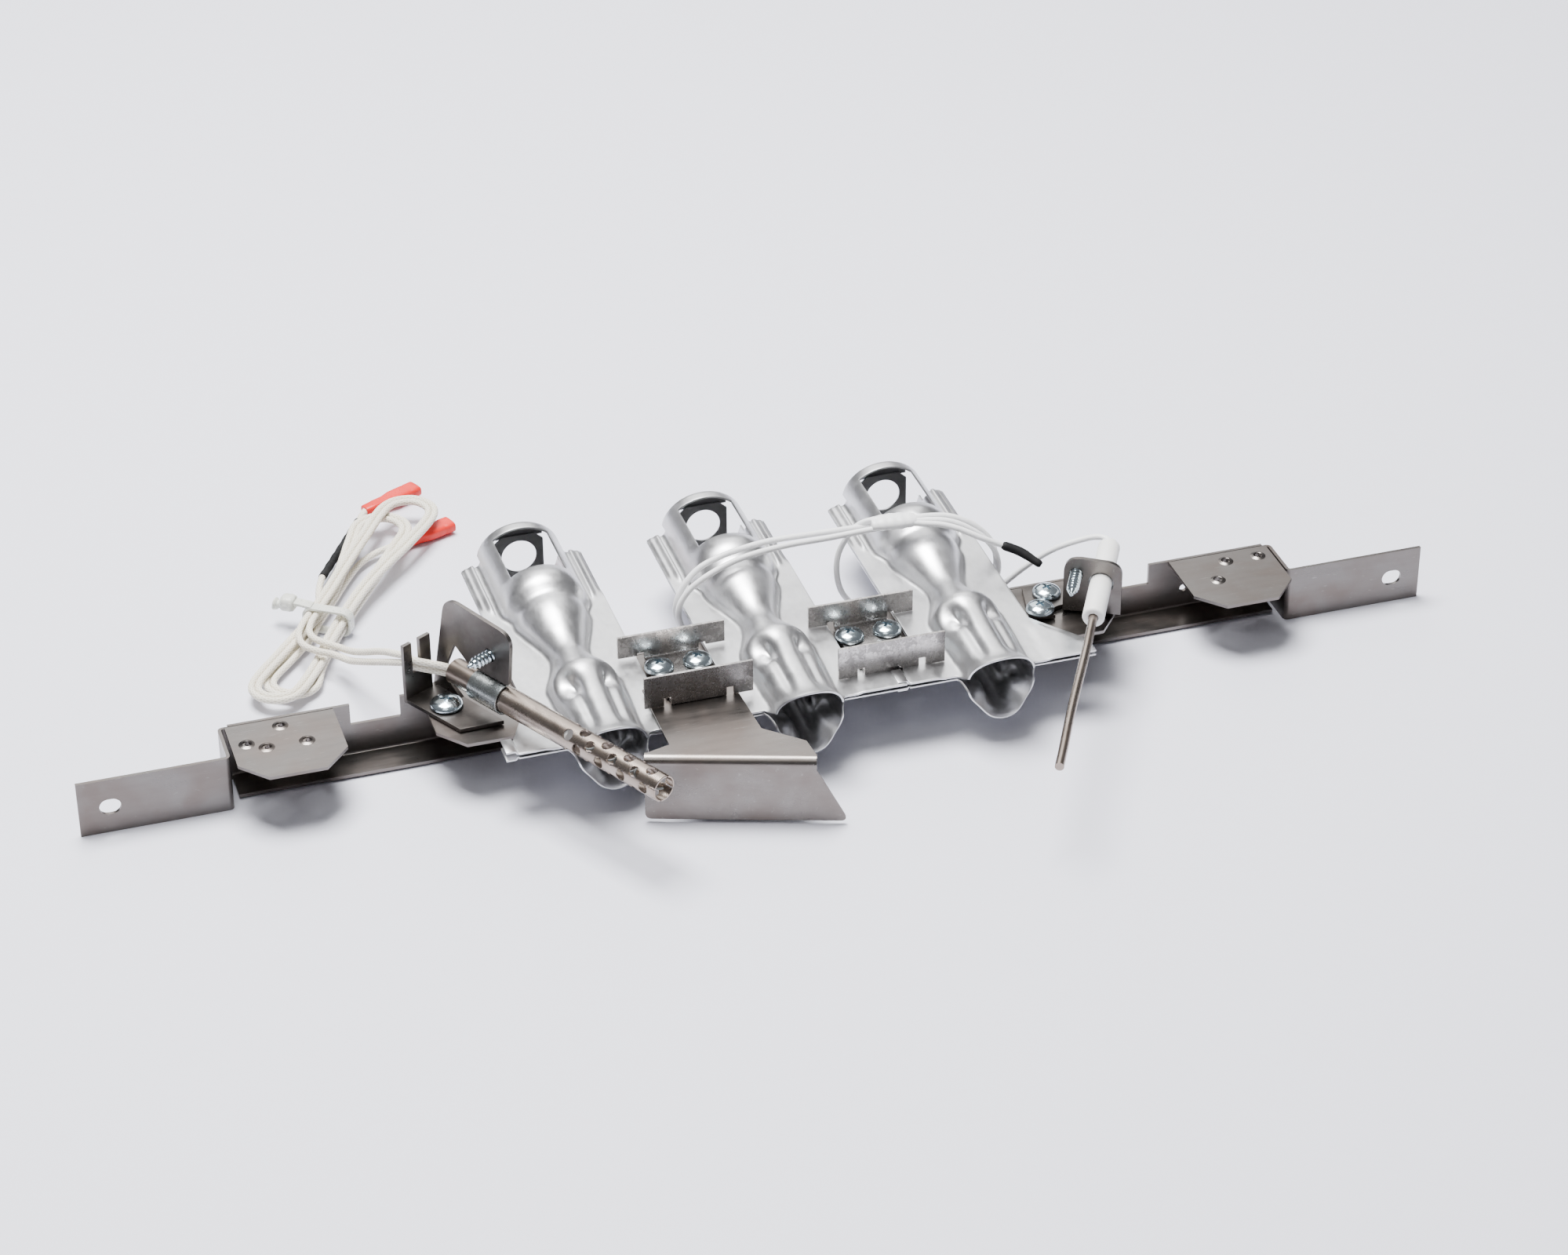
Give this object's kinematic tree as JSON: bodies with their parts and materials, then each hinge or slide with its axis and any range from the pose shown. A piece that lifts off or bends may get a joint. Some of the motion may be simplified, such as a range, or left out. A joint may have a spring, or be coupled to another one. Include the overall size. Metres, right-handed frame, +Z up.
{
  "type": "gas burner assembly",
  "caption": "In-shot gas burners side by side on a folded steel support rail, with a hot-surface igniter, a flame sensor rod, a flame deflector and their loose leads.",
  "frame": {"origin": "under the middle of the metal and ceramic pieces' bounding box, at the underside of the rail, with the loose leads left out", "axes": "+X along the support rail, +Y towards the burners' air inlets, +Z up; flames leave towards -Y"},
  "size_m": [0.4948, 0.2988, 0.0627],
  "materials": {
    "rail_steel": "bare cold-rolled steel, warm grey, satin with mill marks",
    "aluminised_steel": "aluminised sheet, light grey, soft sheen, brighter on the drawn curves",
    "galvanised_steel": "galvanised sheet with spangle",
    "stainless": "stainless steel, slightly brown from handling",
    "bracket_steel": "plain steel plate, mid grey",
    "zinc_screw": "bright zinc, bluish",
    "ceramic": "white alumina, matte",
    "element": "grey silicon element",
    "braid": "off-white glass braid",
    "silicone": "white silicone lead",
    "red_vinyl": "translucent red vinyl sleeve",
    "nylon": "natural nylon",
    "black_sleeve": "black heat-shrink sleeve"
  },
  "bodies": {
    "root": {"burner_1_lower_shell": "aluminised_steel", "burner_1_upper_shell": "aluminised_steel", "burner_2_lower_shell": "aluminised_steel", "burner_2_upper_shell": "aluminised_steel", "burner_3_lower_shell": "aluminised_steel", "burner_3_upper_shell": "aluminised_steel", "deflector": "stainless", "hank_tie": "nylon", "igniter_bracket": "bracket_steel", "igniter_bracket_screw": "zinc_screw", "igniter_clamp": "galvanised_steel", "igniter_clamp_screw": "zinc_screw", "igniter_element": "element", "igniter_insulator": "ceramic", "igniter_lead_1": "braid", "igniter_lead_2": "braid", "igniter_lead_tail": "braid", "igniter_tube": "stainless", "joint_bracket_1": "galvanised_steel", "joint_bracket_2": "galvanised_steel", "joint_screw_1": "zinc_screw", "joint_screw_2": "zinc_screw", "joint_screw_3": "zinc_screw", "joint_screw_4": "zinc_screw", "lead_hank": "braid", "lead_sleeve": "black_sleeve", "lead_terminal_1": "red_vinyl", "lead_terminal_2": "red_vinyl", "sensor_bracket": "bracket_steel", "sensor_bracket_screw_1": "zinc_screw", "sensor_bracket_screw_2": "zinc_screw", "sensor_clamp": "galvanised_steel", "sensor_clamp_screw": "zinc_screw", "sensor_insulator": "ceramic", "sensor_lead": "silicone", "sensor_rod": "stainless", "support_rail": "rail_steel"}
  },
  "joints": []
}
